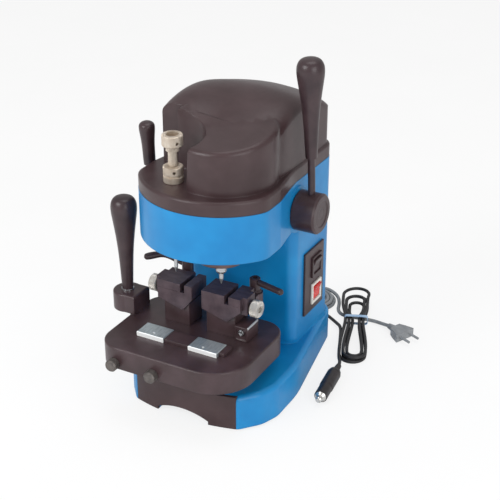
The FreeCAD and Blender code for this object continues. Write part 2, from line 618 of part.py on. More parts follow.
def loop_path(center, angle, hand, run, width, pitch, count, low, start, slope):
    """Loops wound in, up one layer in the innermost run, and out again, on a plane that may tilt."""
    turn = FreeCAD.Rotation(UP, angle)
    far = run / 2 + width

    def place(along, across, layer):
        flat = center + turn.multVec(V(along, hand * across, 0))
        return flat + V(0, 0, low + layer + (far - along) * slope)

    steps = list(range(count + 1)) + list(range(count - 1, -1, -1))
    edges = []
    for i, step in enumerate(steps):
        way = 1 if i % 2 == 0 else -1
        across = way * (width - step * pitch / 2)
        a, b = -way * run / 2, way * run / 2
        z0 = 0.0 if i <= count else pitch
        z1 = 0.0 if i < count else pitch
        if i == 0:
            a = start
        if z0 == z1:
            edges.append(Part.makeLine(place(a, across, z0), place(b, across, z1)))
        else:
            radius = (run * run + pitch * pitch) / (4 * pitch)
            half = math.asin(run / 2 / radius) / 2
            dx, dz = way * radius * math.sin(half), radius * (1 - math.cos(half))
            middle = place(0, across, pitch / 2)
            edges.append(Part.Arc(place(a, across, 0), place(a + dx, across, dz), middle).toShape())
            late = place(b - dx, across, pitch - dz)
            edges.append(Part.Arc(middle, late, place(b, across, pitch)).toShape())
        if i + 1 < len(steps):
            after = -way * (width - steps[i + 1] * pitch / 2)
            tip = place(b + way * abs(across - after) / 2, (across + after) / 2, z1)
            edges.append(Part.Arc(place(b, across, z1), tip, place(b, after, z1)).toShape())
    return edges, place


def tube(edges, radius):
    """One unbroken round tube along a chain of lines and arcs."""
    start = edges[0].valueAt(edges[0].FirstParameter)
    ring = Part.Wire([Part.makeCircle(radius, start, edges[0].tangentAt(edges[0].FirstParameter))])
    return Part.Wire(edges).makePipeShell([ring], True, False)


def self_gap(edges, diameter):
    samples, place = [], 0.0
    for edge in edges:
        count = max(2, int(edge.Length / 5))
        for k in range(count):
            u = edge.FirstParameter + (edge.LastParameter - edge.FirstParameter) * k / count
            samples.append((place + edge.Length * k / count, edge.valueAt(u)))
        place += edge.Length
    least = 1000.0
    for i, (s, p) in enumerate(samples):
        for t, q in samples[i + 1:]:
            if t - s > 5 * diameter:
                least = min(least, p.distanceToPoint(q))
    return least - diameter


def gland(x, z, radius):
    return turned([(0, -9), (5, -9), (5, 0), (7.5, 0), (7.5, 3), (5.5, 4), (radius + 1.2, 18), (0, 18)],
                  V(x, base_rear_y, z), BACK)


def build_cords():
    holes = [rod(5.0, V(x, base_rear_y - 30, z), V(x, base_rear_y + 3, z)) for x, z in ((30, 16), (-47, 20))]
    nodes["base_casting"] = nodes["base_casting"].cut(holes)
    start = 37.0
    loops, place = loop_path(hank_center, hank_angle, -1, hank_run, hank_width, hank_pitch, 4, black_radius,
                             start, hank_slope)
    lead = [V(30, 173, 16), V(32, 183, 13.5), V(41, 191, 9.5), V(54, 192.5, 6), V(67, 186, 5),
            V(80, 176.5, 5.6), place(8.0, hank_width, 0), place(start, hank_width, 0)]
    edges, radii = rounded_path(lead)
    print("black lead radii", radii)
    nodes["black_lead"] = tube(edges, black_radius)
    black_gland = gland(30, 16, black_radius).cut(nodes["black_lead"])
    print("hank self gap", round(self_gap(loops, 2 * black_radius), 2))
    nodes["black_hank"] = tube(loops, black_radius)
    end = place(hank_run / 2, hank_width, hank_pitch)
    after = place(hank_run / 2 + 17, hank_width, hank_pitch)
    edges, radii = rounded_path([end, after, V(135.0, 70.0, 9.6), V(138.5, 57.0, 10.3)])
    print("black tail radii", radii)
    nodes["black_tail"] = tube(edges, black_radius)
    middle = -11.0
    low_z = place(middle, 0, 0).z - black_radius - 0.9
    high_z = place(middle, 0, hank_pitch).z + black_radius + 0.9
    reach = hank_width + black_radius + 0.6
    ring = box(-3, 3, -reach - 1.4, reach + 1.4, low_z - 1.4, high_z + 1.4)
    ring = ring.cut(box(-4, 4, -reach, reach, low_z, high_z))
    spot = place(middle, 0, 0)
    ring.Placement = FreeCAD.Placement(V(spot.x, spot.y, 0), FreeCAD.Rotation(UP, hank_angle))
    ties = [ring]
    plug = [(0, 0), (4, 0), (5.2, 14), (8.6, 18), (10.2, 24), (10.2, 60), (9.4, 64), (9.4, 86), (4.5, 90),
            (4.5, 96), (3, 97.3), (0, 97.3)]
    plug = turned(plug, V(138.5, 57.0, 10.3), V(12.8, -96.5, 0))
    nodes["car_plug"] = plug.cut(nodes["black_tail"])
    low = grey_radius + 1.6
    loops, place = loop_path(coil_center, 0, 1, coil_run, coil_width, coil_pitch, 5, low, -coil_run / 2, 0.0)
    begin = place(-coil_run / 2, coil_width, 0)
    lead = [V(-47, 173, 20), V(-51.5, 187, 14), V(-55, 203, 8), V(-56, 222, 4.6), V(-51, 241, low),
            begin - V(17, 0, 0), begin]
    edges, radii = rounded_path(lead)
    print("grey lead radii", radii)
    nodes["grey_lead"] = tube(edges, grey_radius)
    grey_gland = gland(-47, 20, grey_radius).cut(nodes["grey_lead"])
    nodes["cord_glands"] = Part.makeCompound([black_gland, grey_gland])
    print("coil self gap", round(self_gap(loops, 2 * grey_radius), 2))
    nodes["grey_coil"] = tube(loops, grey_radius)
    inner = coil_center.y + coil_width - 15.0 - grey_radius - 0.6
    outer = coil_center.y + coil_width + grey_radius + 0.5
    top = low + coil_pitch + grey_radius + 0.5
    ring = box(-3, 3, inner - 1.2, outer + 1.2, 0.0, top + 1.2)
    ties.append(ring.cut(box(-4, 4, inner, outer, 1.2, top)))
    nodes["cord_ties"] = Part.makeCompound(ties)
    end = place(coil_run / 2, coil_width, coil_pitch)
    route = [end, end + V(15, 0, 0), V(48, 253, 7.5), V(58, 236, 5), V(63, 218, 3.2), V(75, 207.5, 2.75),
             V(93, 209.5, 2.75), V(111, 213, 2.75), V(128, 214.5, 2.75), V(143, 210.5, 4.2),
             V(157, 204.0, 7.5)]
    edges, radii = rounded_path(route)
    print("grey tail radii", radii)
    nodes["grey_tail"] = tube(edges, grey_radius)
    aim = route[-1] - route[-2]
    aim.z = 0
    aim.normalize()
    side = V(-aim.y, aim.x, 0)
    root = route[-1]
    boot = turned([(0, 0), (4.2, 0), (6.2, 14), (0, 14)], root, aim)
    outline = ((13, 9), (22, 13), (36, 17.5), (36, -17.5), (22, -13), (13, -9))
    corners = [root + aim * along + side * across - V(0, 0, 6.8) for along, across in outline]
    body = prism(corners, V(0, 0, 13.6))
    pins = [rod(2.0, root + aim * 35 + side * k, root + aim * 55 + side * k) for k in (-9.3, 9.3)]
    nodes["mains_plug"] = boot.fuse([body] + pins).removeSplitter().cut(nodes["grey_tail"])


build_base()
build_head()
build_cover()
build_carriage()
build_tracer()
build_levers()
build_switches()
build_table()
build_vise("left", 1, -69.5, -33.3, -26.7, -15.0, (147.0, 136.0, 155.0), -52.0, 180.0, 50.0)
build_vise("right", -1, 60.0, 42.3, 35.7, 0.5, (155.0, 136.0, 147.0), 55.0, -21.0, 57.0)
nodes["vise_bases"] = Part.makeCompound(pedestals)
build_cords()

os.makedirs("parts", exist_ok=True)
for name, shape in nodes.items():
    if not shape.isValid():
        print("not valid:", name)
    shape.exportStep(os.path.join("parts", name + ".step"))
print(len(nodes), "nodes")
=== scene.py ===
# %% [markdown]
# A key duplicating machine, dressed for a picture. The solids come from CAD and keep their shape and place.
# This lesson gives them real finishes, models a few small pieces, lays the two cords, and sets up the
# light and the camera. Everything is in metres, with +Z up and +Y to the machine's back.

# %% Load the frame
import math
import bpy
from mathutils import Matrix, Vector


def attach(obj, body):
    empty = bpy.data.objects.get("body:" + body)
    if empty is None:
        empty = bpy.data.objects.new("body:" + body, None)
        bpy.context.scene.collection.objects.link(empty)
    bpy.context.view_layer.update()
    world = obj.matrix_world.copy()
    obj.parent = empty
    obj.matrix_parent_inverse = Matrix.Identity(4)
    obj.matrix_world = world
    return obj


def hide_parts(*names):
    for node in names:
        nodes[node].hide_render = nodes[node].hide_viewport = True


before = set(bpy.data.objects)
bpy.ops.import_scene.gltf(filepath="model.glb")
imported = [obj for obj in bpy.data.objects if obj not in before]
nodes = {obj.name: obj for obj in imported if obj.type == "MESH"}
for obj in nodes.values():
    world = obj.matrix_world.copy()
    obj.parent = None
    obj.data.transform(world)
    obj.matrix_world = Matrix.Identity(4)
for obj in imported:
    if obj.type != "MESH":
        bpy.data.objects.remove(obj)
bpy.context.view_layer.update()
scene = bpy.context.scene
MM = 0.001
print("CAD nodes:", len(nodes))

# %% [markdown]
# The camera comes first, because every comparison with the photograph depends on it. A long lens
# from the front right, a little above the cover, gives the same gentle perspective as the photograph.
# A short lens nearer by would frame the machine too, but it would make the lever and the table loom.

# %% Camera
camera_place = Vector((735.7, -1317.7, 951.0)) * MM
camera_target = Vector((52.6, -57.0, 229.8)) * MM
camera_lens_mm = 86.4
sensor_width_mm = 36.0


def aim(thing, place, target):
    """Put a camera or a lamp at a place and turn it to look at a target."""
    thing.location = place
    thing.rotation_euler = (Vector(target) - Vector(place)).to_track_quat("-Z", "Y").to_euler()


camera_data = bpy.data.cameras.new("bench_camera")
camera_data.lens = camera_lens_mm
camera_data.sensor_width = sensor_width_mm
camera = bpy.data.objects.new("bench_camera", camera_data)
scene.collection.objects.link(camera)
aim(camera, camera_place, camera_target)
bpy.context.scene.camera = camera
print("camera distance", round((camera_target - camera_place).length, 3))

# %% [markdown]
# A finish is a small tree of nodes. It could be wired by hand in the shader editor; written out, it can be
# read and changed line by line. One helper turns a written colour, such as 148AC8, into the linear numbers
# that a shader needs, and another adds a node with its settings and with links to the nodes before it.

# %% Colours and nodes


def linear_colour(written):
    """Turn an sRGB hex value into linear red, green and blue, and a full alpha."""
    parts = [int(written[i:i + 2], 16) / 255 for i in (0, 2, 4)]
    return [c / 12.92 if c <= 0.04045 else ((c + 0.055) / 1.055) ** 2.4 for c in parts] + [1.0]


def add_node(tree, kind, *in_order, **by_name):
    """Add a node. Its inputs take values or links, in order or by name; other names are settings.

    A node given as a value is linked by its first output."""
    node = tree.nodes.new(kind)
    inputs = []
    for name, value in by_name.items():
        label = name.replace("_", " ")
        if label in node.inputs:
            inputs.append((node.inputs[label], value))
        else:
            setattr(node, name, value)
    inputs.extend(zip(node.inputs, in_order))
    for socket, value in inputs:
        if isinstance(value, bpy.types.Node):
            value = value.outputs[0]
        if isinstance(value, bpy.types.NodeSocket):
            tree.links.new(value, socket)
        else:
            socket.default_value = value
    return node


print("148AC8 is", [round(c, 3) for c in linear_colour("148AC8")])

# %% [markdown]
# No real surface is one flat colour. Each finish here wanders slowly between two close colours, and its
# gloss is uneven where hands have rubbed it. A picture of paint could do the same, but noise in the piece's
# own metres needs no file and no unwrapping. Sizes of patches are given in millimetres on the machine.

# %% A finish with patches of colour and gloss
EVEN = (1, 1, 1)
PATCH_EDGES = (0.35, 0.68)


def new_finish(name, dark, light, patch_mm, gloss=None, gloss_mm=None, stretch=EVEN, **shader_values):
    """A material between two colours and, where gloss is given, between two values of roughness."""
    material = bpy.data.materials.new(name)
    material.use_nodes = True
    tree = material.node_tree
    tree.nodes.clear()
    space = add_node(tree, "ShaderNodeTexCoord").outputs["Object"]
    stretched = add_node(tree, "ShaderNodeMapping", Vector=space, Scale=stretch)
    patches = add_node(tree, "ShaderNodeTexNoise", Vector=stretched, Scale=1 / (patch_mm * MM),
                       Detail=3.0, Roughness=0.55)
    blend = add_node(tree, "ShaderNodeValToRGB", Fac=patches)
    for stop, position, colour in zip(blend.color_ramp.elements, PATCH_EDGES, (dark, light)):
        stop.position = position
        stop.color = linear_colour(colour)
    if gloss:
        rubbing = add_node(tree, "ShaderNodeTexNoise", Vector=space, Scale=1 / (gloss_mm * MM),
                           Detail=4.0, Roughness=0.6)
        shader_values["Roughness"] = add_node(tree, "ShaderNodeMapRange", Value=rubbing,
                                              To_Min=gloss[0], To_Max=gloss[1])
    shader = add_node(tree, "ShaderNodeBsdfPrincipled", Base_Color=blend, **shader_values)
    add_node(tree, "ShaderNodeOutputMaterial", Surface=shader)
    print("finish:", name)
    return material


# %% [markdown]
# Orange peel, moulding grain and tool lines are too fine to model. A bump bends the light as if the surface
# rose and fell, and a bevel node rounds the sharp CAD edges a little, so that they catch a highlight as
# real edges do.

# %% Fine relief


def add_grain(material, size_mm, depth_mm, strength, stretch=EVEN, edge_mm=0.8):
    """Fine relief, such as orange peel or tool lines, over edges that are a little rounded."""
    tree = material.node_tree
    space = tree.nodes["Texture Coordinate"].outputs["Object"]
    stretched = add_node(tree, "ShaderNodeMapping", Vector=space, Scale=stretch)
    noise = add_node(tree, "ShaderNodeTexNoise", Vector=stretched, Scale=1 / (size_mm * MM),
                     Detail=2.0, Roughness=0.5)
    rounding = add_node(tree, "ShaderNodeBevel", Radius=edge_mm * MM)
    bump = add_node(tree, "ShaderNodeBump", Height=noise, Normal=rounding, Strength=strength,
                    Distance=depth_mm * MM)
    tree.links.new(bump.outputs["Normal"], tree.nodes["Principled BSDF"].inputs["Normal"])


# %% [markdown]
# The base and the head are castings in sky-blue enamel. Sprayed enamel on a casting is never quite
# flat, so it gets a shallow orange peel some 2 mm across, a slow change of shade and a thin clear coat.
# To the eye that is a soft sheen with wide, gentle highlights.

# %% Blue enamel
blue_enamel = new_finish("sky_blue_enamel", "087BBA", "148AC8", patch_mm=71.4, gloss=(0.3, 0.44),
                         gloss_mm=16.7, Specular_IOR_Level=0.35, Coat_Weight=0.1, Coat_Roughness=0.14)
add_grain(blue_enamel, size_mm=2.08, depth_mm=0.25, strength=0.1, edge_mm=2.0)

# %% [markdown]
# The cover and the front panel are satin mouldings in a warm brownish black with a fine grain. The table,
# the plates and the hub are painted metal of the same colour, a little smoother, and the grips are moulded
# without grain. The grain of a real moulding is finer than this; it is drawn as coarse as it needs to show.

# %% Black mouldings and black paint
black_moulding = new_finish("satin_black_moulding", "3A292B", "463537", patch_mm=45.5, gloss=(0.28, 0.38),
                            gloss_mm=11.1, Specular_IOR_Level=0.42)
add_grain(black_moulding, size_mm=0.667, depth_mm=0.2, strength=0.25, edge_mm=2.5)

black_paint = new_finish("black_painted_metal", "38282A", "47363A", patch_mm=33.3, gloss=(0.3, 0.4),
                         gloss_mm=8.33, Specular_IOR_Level=0.45)
add_grain(black_paint, size_mm=1.11, depth_mm=0.2, strength=0.1, edge_mm=2.0)

black_grip = new_finish("satin_black_grip", "33262A", "413235", patch_mm=25, gloss=(0.26, 0.38),
                        gloss_mm=6.67, Specular_IOR_Level=0.42)

# %% [markdown]
# The vises are blackened steel, which still shows the milling under a dull film, and the disc round the
# spindle is a casting with a dull brown coat. Both scatter light more than the paint does.

# %% Blackened steel and brown casting
blackened_steel = new_finish("blackened_vise_steel", "42353C", "58494F", patch_mm=16.7, gloss=(0.34, 0.5),
                             gloss_mm=8.33, stretch=(1, 4, 1), Metallic=0.3)
add_grain(blackened_steel, size_mm=2.0, depth_mm=0.15, strength=0.25, stretch=(1, 8, 1))

spindle_brown = new_finish("brown_casting", "4E3836", "624A47", patch_mm=16.7, gloss=(0.4, 0.6),
                           gloss_mm=6.67)
add_grain(spindle_brown, size_mm=1.11, depth_mm=0.3, strength=0.3)

# %% [markdown]
# Bright parts are machined. Turning and milling leave fine lines, so the relief noise is stretched along
# one direction. The lines are drawn coarser than a cutter leaves them, or they would be lost in the picture.

# %% Machined metals
turned_steel = new_finish("turned_steel", "A7A9AC", "C3C5C7", patch_mm=8.33, gloss=(0.2, 0.36),
                          gloss_mm=6.25, stretch=(1, 1, 6), Metallic=1.0)
add_grain(turned_steel, size_mm=1.43, depth_mm=0.12, strength=0.25, stretch=(1, 1, 9))

milled_surface = dict(patch_mm=11.1, gloss=(0.3, 0.46), gloss_mm=7.14, stretch=(5, 1, 1), Metallic=0.7)
milling_lines = dict(size_mm=1.67, depth_mm=0.12, strength=0.22, stretch=(1, 7, 1))
machined_aluminium = new_finish("machined_aluminium", "C4C8CC", "DADDE0", **milled_surface)
add_grain(machined_aluminium, **milling_lines)

dull_zinc = new_finish("dull_zinc", "5A5553", "736D69", patch_mm=6.67, gloss=(0.42, 0.58), gloss_mm=6.25,
                       Metallic=0.6)
add_grain(dull_zinc, size_mm=1.11, depth_mm=0.15, strength=0.3)

# %% [markdown]
# Two finishes can share one solid. Two material slots would need chosen faces, and a CAD mesh is only loose
# triangles, so a mask says where each finish shows. The gauge blocks' front faces look towards the key lamp
# and the camera and are painted near white as a painted highlight for the light from the front. Their tops
# keep the milling marks.

# %% Gauge blocks
FORWARD_Y = -0.5


def show_both(tree, mask, second):
    """Show the finish's own shader where the mask is 0 and a second one where it is 1."""
    joined = add_node(tree, "ShaderNodeMixShader", mask, tree.nodes["Principled BSDF"], second)
    tree.links.new(joined.outputs["Shader"], tree.nodes["Material Output"].inputs["Surface"])


gauge_finish = new_finish("milled_gauge_blocks_painted_lit_fronts", "AEBABF", "C8D2D6", **milled_surface)
add_grain(gauge_finish, **milling_lines)
tree = gauge_finish.node_tree
facing = add_node(tree, "ShaderNodeSeparateXYZ", tree.nodes["Texture Coordinate"].outputs["Normal"])
front_highlight_mask = add_node(tree, "ShaderNodeMath", facing.outputs["Y"], FORWARD_Y, operation="LESS_THAN")
# The faces that look forward get a near-white, hardly metallic finish: a painted highlight standing for the
# strong light from the front.
painted_lit_front = add_node(tree, "ShaderNodeBsdfPrincipled", Base_Color=linear_colour("F6F8F8"), Metallic=0.1,
                       Roughness=0.3)
show_both(tree, front_highlight_mask, painted_lit_front)

# %% [markdown]
# The knobs are turned from aluminium and knurled with straight teeth about 1.2 mm apart. Modelled teeth
# would cost thousands of faces, so they are drawn as a wave of relief round each knob's own axis.

# %% Knurled knobs
pale_aluminium = ("D2CDC6", "E8E3DB")
warm_aluminium = ("D6C6B4", "EADFD0")
knob_surface = dict(patch_mm=9.09, gloss=(0.3, 0.45), gloss_mm=6.67, Metallic=0.7)
vise_screw_line = dict(across="YZ", centre_mm=(-80, 157))
tracer_line = dict(across="XY", centre_mm=(-35, -104))


def add_knurl(material, teeth, across, centre_mm, depth_mm=0.3):
    """Straight teeth round a knob; across names the two directions square to its axis."""
    tree = material.node_tree
    split = add_node(tree, "ShaderNodeSeparateXYZ", tree.nodes["Texture Coordinate"].outputs["Object"])
    sides = [add_node(tree, "ShaderNodeMath", split.outputs[side], middle * MM, operation="SUBTRACT")
             for side, middle in zip(across, centre_mm)]
    angle = add_node(tree, "ShaderNodeMath", *sides, operation="ARCTAN2")
    turns = add_node(tree, "ShaderNodeMath", angle, teeth, operation="MULTIPLY")
    wave = add_node(tree, "ShaderNodeMath", turns, operation="SINE")
    bump = add_node(tree, "ShaderNodeBump", Height=wave, Strength=0.8, Distance=depth_mm * MM)
    tree.links.new(bump.outputs["Normal"], tree.nodes["Principled BSDF"].inputs["Normal"])


knob_finish = {}
for name, colours, axis_line, teeth in (
    ("left_vise_knob", pale_aluminium, vise_screw_line, 60),
    ("right_vise_knob", pale_aluminium, vise_screw_line, 60),
    ("tracer_knob", warm_aluminium, tracer_line, 72),
    ("tracer_collar", warm_aluminium, tracer_line, 68),
):
    knob_finish[name] = new_finish("knurled_" + name, *colours, **knob_surface)
    add_knurl(knob_finish[name], teeth, **axis_line)

# %% [markdown]
# The tracer rod is bright steel where it works on the key. Between the collar and the knob it is warm
# and knurled like them. It is one solid, so a mask by height parts the two finishes at the cover's flange,
# where the collar hides the line.

# %% Tracer rod
rod_teeth = 34
flange_top = 330 * MM
rod_finish = new_finish("knurled_tracer_rod", *warm_aluminium, **knob_surface)
add_knurl(rod_finish, rod_teeth, **tracer_line)
tree = rod_finish.node_tree
height = add_node(tree, "ShaderNodeSeparateXYZ", tree.nodes["Texture Coordinate"].outputs["Object"])
below = add_node(tree, "ShaderNodeMath", height.outputs["Z"], flange_top, operation="LESS_THAN")
rod_steel = add_node(tree, "ShaderNodeBsdfPrincipled", Base_Color=linear_colour("B8BABC"), Metallic=1.0,
                     Roughness=0.28)
show_both(tree, below, rod_steel)

# %% [markdown]
# Small parts are moulded: the red rocker in its white bezel, rubber feet and glands, the cord sheaths and
# the ties. They share one fine grain and differ in colour and gloss; rubber is the dullest.

# %% Plastics and rubbers
small_finishes = {}
for name, dark, light, gloss in (
    ("white_bezel_plastic", "DEDBD4", "EDEBE6", (0.3, 0.42)),
    ("red_rocker_plastic", "D0231C", "E4332A", (0.2, 0.32)),
    ("black_rubber", "171717", "232223", (0.55, 0.72)),
    ("black_sheath", "1B1A1C", "272628", (0.38, 0.52)),
    ("grey_sheath", "85888B", "999C9F", (0.42, 0.56)),
    ("pale_blue_tie", "9DBEDF", "B4CFE9", (0.4, 0.55)),
):
    small_finishes[name] = new_finish(name, dark, light, patch_mm=12.5, gloss=gloss, gloss_mm=5)
    add_grain(small_finishes[name], size_mm=0.625, depth_mm=0.12, strength=0.18, edge_mm=1.2)

# %% [markdown]
# The car plug is one solid, black with a bright tip. A mask along the plug's own axis says where the
# plastic ends: everything more than 87 mm from the cord is metal.

# %% Car plug with a metal tip
plug_root = Vector((138.5, 57.0, 10.3)) * MM
plug_axis = Vector((12.8, -96.5, 0)).normalized()
plastic_length = 87 * MM
plastic_end = plug_root.dot(plug_axis) + plastic_length
plug_finish = new_finish("car_plug_plastic_and_metal", "1E191B", "2C2527", patch_mm=12.5, gloss=(0.32, 0.48),
                         gloss_mm=6.67)
tree = plug_finish.node_tree
reach = add_node(tree, "ShaderNodeVectorMath", tree.nodes["Texture Coordinate"].outputs["Object"], plug_axis,
                 operation="DOT_PRODUCT")
beyond = add_node(tree, "ShaderNodeMath", reach.outputs["Value"], plastic_end, operation="GREATER_THAN")
tip_metal = add_node(tree, "ShaderNodeBsdfPrincipled", Base_Color=linear_colour("D4D2CE"), Metallic=0.9,
                     Roughness=0.28)
show_both(tree, beyond, tip_metal)

# %% [markdown]
# Each CAD node takes the finish of what it is really made of. Only its material slot changes; the shapes
# stay as they are.

# %% Dress the nodes
finish_of = {
    blue_enamel: ["base_casting", "column_head"],
    black_moulding: ["front_panel", "top_cover", "selector_bezel", "selector_rocker"],
    black_paint: ["base_plate", "motor_body", "feed_hub", "lock_hub", "switch_plate", "table_casting",
                  "gauge_strip", "vise_bases"],
    black_grip: ["feed_grip", "lock_grip", "table_handle", "right_vise_lever", "feed_rod", "pinion_shaft"],
    blackened_steel: ["left_vise_body", "left_vise_jaw", "right_vise_body", "right_vise_jaw"],
    spindle_brown: ["spindle_disc"],
    turned_steel: ["y_rails", "x_rails", "guide_posts", "spindle_bearings", "spindle_shaft", "collet_nut",
                   "cutter", "motor_rotor", "return_springs", "handle_stud"],
    rod_finish: ["tracer_rod"],
    machined_aluminium: ["spindle_carriage", "saddle"],
    gauge_finish: ["gauge_blocks"],
    dull_zinc: ["left_lock_knob", "front_lock_knob"],
    plug_finish: ["car_plug"],
    small_finishes["white_bezel_plastic"]: ["power_bezel"],
    small_finishes["red_rocker_plastic"]: ["power_rocker"],
    small_finishes["black_rubber"]: ["rubber_feet", "cord_glands", "drive_belt"],
    small_finishes["grey_sheath"]: ["mains_plug"],
}
finish_of.update({material: [name] for name, material in knob_finish.items()})
for material, names in finish_of.items():
    for name in names:
        slots = nodes[name].data.materials
        slots.clear()
        slots.append(material)
print("nodes dressed:", sum(len(names) for names in finish_of.values()))

# %% [markdown]
# A few pieces are modelled here, as by hand: each starts as a primitive at its size and place and is shaped
# in edit mode. Operators act on all that is selected, so everything is deselected first, and faces are then
# chosen by the way they look. Clicking them would be quicker once, but it couldn't be repeated.

# %% Choosing and pressing faces
FRONT, TOP = (0, -1, 0), (0, 0, 1)
SAME_WAY = 0.9


def deselect_everything():
    if bpy.context.object and bpy.context.object.mode != "OBJECT":
        bpy.ops.object.mode_set(mode="OBJECT")
    bpy.ops.object.select_all(action="DESELECT")


def edit_faces(piece, *directions):
    """Go into edit mode with just the faces selected that look in these directions."""
    bpy.ops.object.mode_set(mode="EDIT")
    bpy.ops.mesh.select_mode(type="FACE")
    bpy.ops.mesh.select_all(action="DESELECT")
    bpy.ops.object.mode_set(mode="OBJECT")
    for face in piece.data.polygons:
        face.select = any(face.normal.dot(Vector(way)) > SAME_WAY for way in directions)
    bpy.ops.object.mode_set(mode="EDIT")


def press_faces(piece, direction, margin, depth):
    """Inset the faces that look in one direction and push them in."""
    edit_faces(piece, direction)
    bpy.ops.mesh.inset(thickness=margin)
    push = Vector(direction) * -depth
    bpy.ops.mesh.extrude_region_move(TRANSFORM_OT_translate={"value": push})
    bpy.ops.mesh.select_all(action="SELECT")
    bpy.ops.mesh.normals_make_consistent(inside=False)
    bpy.ops.object.mode_set(mode="OBJECT")


# %% [markdown]
# Every modelled piece is finished alike. Its edges get a small bevel, because no made edge is perfectly
# sharp; then it takes a material and rides one of the machine's bodies. Its place is kept in its mesh, so
# the object itself stays at the origin.

# %% Finishing a piece
SMOOTH_BELOW = math.radians(35)


def apply_modifier(piece, kind, **settings):
    """Add a modifier to the active piece, set it up and apply it."""
    modifier = piece.modifiers.new(kind.lower(), kind)
    for name, value in settings.items():
        setattr(modifier, name, value)
    bpy.ops.object.modifier_apply(modifier=modifier.name)


def finish_piece(piece, name, material, body, edge):
    """Name a piece, soften its edges, give it a finish and let it ride a body."""
    piece.name = name
    apply_modifier(piece, "BEVEL", width=edge, segments=3, limit_method="ANGLE")
    bpy.ops.object.shade_smooth_by_angle(angle=SMOOTH_BELOW)
    piece.data.materials.append(material)
    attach(piece, body)
    print("piece:", name, "with", len(piece.data.polygons), "faces")
    return piece


# %% [markdown]
# Beside the right vise stands a small black block with a shallow pocket in front for a chrome screw and a
# bright strip let into its right edge. A cube and a cylinder are quick starts for them; insetting a face and
# pushing it in gives the pocket, the strip's groove and the screw's drive hole.

# %% Block, strip and screw


def start_block(low, high):
    """A box between two corners, given in millimetres."""
    deselect_everything()
    low, high = Vector(low) * MM, Vector(high) * MM
    bpy.ops.mesh.primitive_cube_add(size=1.0, location=(low + high) / 2)
    bpy.context.object.scale = high - low
    bpy.ops.object.transform_apply(location=True, rotation=True, scale=True)
    return bpy.context.object


def start_bar(start, end, radius):
    """A round bar between two points, given in millimetres."""
    deselect_everything()
    start, end = Vector(start) * MM, Vector(end) * MM
    bpy.ops.mesh.primitive_cylinder_add(vertices=48, radius=radius * MM, depth=(end - start).length,
                                        location=(start + end) / 2)
    bpy.context.object.rotation_euler = (end - start).to_track_quat("Z", "Y").to_euler()
    bpy.ops.object.transform_apply(location=True, rotation=True, scale=True)
    return bpy.context.object


block = start_block(low=(51.4, -99, 112), high=(71, -67, 134))
press_faces(block, FRONT, margin=2.2 * MM, depth=1.2 * MM)
finish_piece(block, "vise_side_block", black_paint, "table", edge=0.9 * MM)

strip = start_block(low=(70.2, -98, 131.5), high=(71.6, -69, 134.6))
press_faces(strip, TOP, margin=0.4 * MM, depth=0.3 * MM)
finish_piece(strip, "vise_side_strip", machined_aluminium, "table", edge=0.12 * MM)

screw = start_bar(start=(62, -97, 126), end=(62, -101, 126), radius=4.2)
press_faces(screw, FRONT, margin=1.9 * MM, depth=1.5 * MM)
finish_piece(screw, "vise_side_screw", turned_steel, "table", edge=0.5 * MM)

# %% [markdown]
# The left clamp lever is cranked, and the CAD lever is straight, so a modelled one takes its place. Its hub
# is a short bar with a shallow recess pressed into its top.

# %% Left clamp hub
lever_hub = start_bar(start=(-52, -47, 163.4), end=(-52, -47, 184.4), radius=8.2)
press_faces(lever_hub, TOP, margin=2.5 * MM, depth=1.0 * MM)
finish_piece(lever_hub, "left_clamp_hub", black_grip, "left_clamp", edge=0.8 * MM)
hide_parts("left_vise_lever")

# %% [markdown]
# The arm climbs from the hub, bends at an elbow and ends in a fuller grip that points at the handle.
# Extruding a ring step by step would give it as well, but a path with a round section bends more evenly.
# Each step has a place and a share of the arm's radius; the path is then made a mesh.

# %% Left clamp arm
arm_radius = 4.2 * MM
arm_steps_mm = (
    ((-52, -47, 176), 0.7),
    ((-66, -49, 180), 0.75),
    ((-80, -51, 186), 0.85),
    ((-90, -54, 188), 1.0),
    ((-98, -62, 188), 1.25),
    ((-105.5, -69.5, 187.2), 1.2),
    ((-107.5, -71.5, 187), 0.8),
    ((-108, -72, 187), 0.2),
)
deselect_everything()
bpy.ops.curve.primitive_nurbs_path_add()
arm_line = bpy.context.object.data
arm_line.bevel_depth = arm_radius
arm_line.bevel_resolution = 6
arm_line.use_fill_caps = True
arm_path = arm_line.splines[0]
arm_path.points.add(len(arm_steps_mm) - len(arm_path.points))
for point, (place, fullness) in zip(arm_path.points, arm_steps_mm):
    point.co = (*(Vector(place) * MM), 1.0)
    point.radius = fullness
arm_path.order_u = 3
bpy.ops.object.transform_apply(location=True, rotation=True, scale=True)
bpy.ops.object.convert(target="MESH")
lever_arm = bpy.context.object
lever_arm.name = "left_clamp_arm"
bpy.ops.object.shade_smooth_by_angle(angle=SMOOTH_BELOW)
lever_arm.data.materials.append(black_grip)
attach(lever_arm, "left_clamp")
print("piece: left_clamp_arm with", len(lever_arm.data.polygons), "faces")

# %% [markdown]
# The moulded cover's hood has a fuller shoulder at its front left corner than the CAD solid, and it runs
# softly into the round lobe. The CAD mesh itself is left alone, so the cover is copied. A CAD mesh is loose
# triangles; merging their corners makes the copy one skin that can be lifted without tearing.

# %% Copy of the cover
one_point = 0.01 * MM

deselect_everything()
cover = nodes["top_cover"].copy()
cover.data = nodes["top_cover"].data.copy()
cover.name = "moulded_cover"
cover.data.name = "moulded_cover"
scene.collection.objects.link(cover)
cover.select_set(True)
bpy.context.view_layer.objects.active = cover
bpy.ops.mesh.customdata_custom_splitnormals_clear()
bpy.ops.object.mode_set(mode="EDIT")
bpy.ops.mesh.select_all(action="SELECT")
bpy.ops.mesh.remove_doubles(threshold=one_point)
bpy.ops.object.mode_set(mode="OBJECT")
print("points in the cover:", len(cover.data.vertices))

# %% [markdown]
# Sculpting would raise the shoulder by eye. Here it is raised by numbers that can be changed: a vertex group
# says how far each point follows, fading out to the right, to the back and downwards, and a displace
# modifier lifts the group. Weighted normals keep the large faces even in the light.

